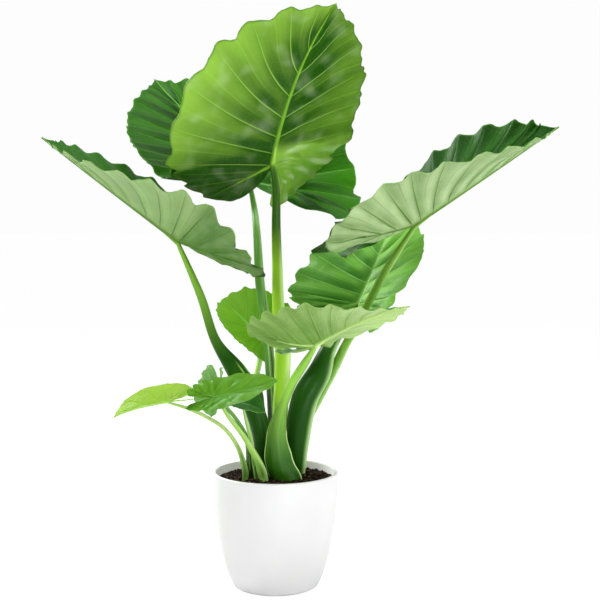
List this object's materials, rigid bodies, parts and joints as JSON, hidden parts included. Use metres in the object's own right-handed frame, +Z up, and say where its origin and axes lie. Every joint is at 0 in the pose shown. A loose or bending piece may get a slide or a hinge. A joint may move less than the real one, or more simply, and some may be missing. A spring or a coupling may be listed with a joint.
{
  "type": "potted alocasia plant",
  "caption": "Tall leafy plant with big wavy arrow-shaped leaves on fleshy stems, standing in a round tapered pot of soil.",
  "frame": {"origin": "middle of the pot's foot, on the surface that it stands on", "axes": "+Z up from the floor, +X to the right seen from the front, +Y away from the viewer"},
  "size_m": [0.9983, 0.6274, 1.1328],
  "materials": {
    "pot": "smooth matt white",
    "soil": "crumbly dark potting mix",
    "rootstock": "rough brown root",
    "blade_pale": "satin leaf, pale yellow-green below, green above",
    "blade_deep": "glossy deep green leaf",
    "blade_young": "satin bright green young leaf",
    "stem_pale": "smooth light green stem",
    "stem_deep": "smooth dark green stem"
  },
  "bodies": {
    "root": {"pot": "pot", "soil": "soil", "rootstock": "rootstock", "stem_a": "stem_pale", "blade_a": "blade_pale", "stem_b": "stem_deep", "blade_b": "blade_deep", "stem_c": "stem_deep", "blade_c": "blade_deep", "stem_d": "stem_pale", "blade_d": "blade_pale", "stem_e": "stem_pale", "blade_e": "blade_young", "stem_f": "stem_pale", "blade_f": "blade_pale", "stem_g": "stem_deep", "blade_g": "blade_pale", "stem_h": "stem_pale", "blade_h": "blade_young", "stem_i": "stem_pale", "blade_i": "blade_young", "stem_j": "stem_deep", "blade_j": "blade_deep", "stem_k": "stem_pale", "blade_k": "blade_deep"}
  },
  "joints": []
}
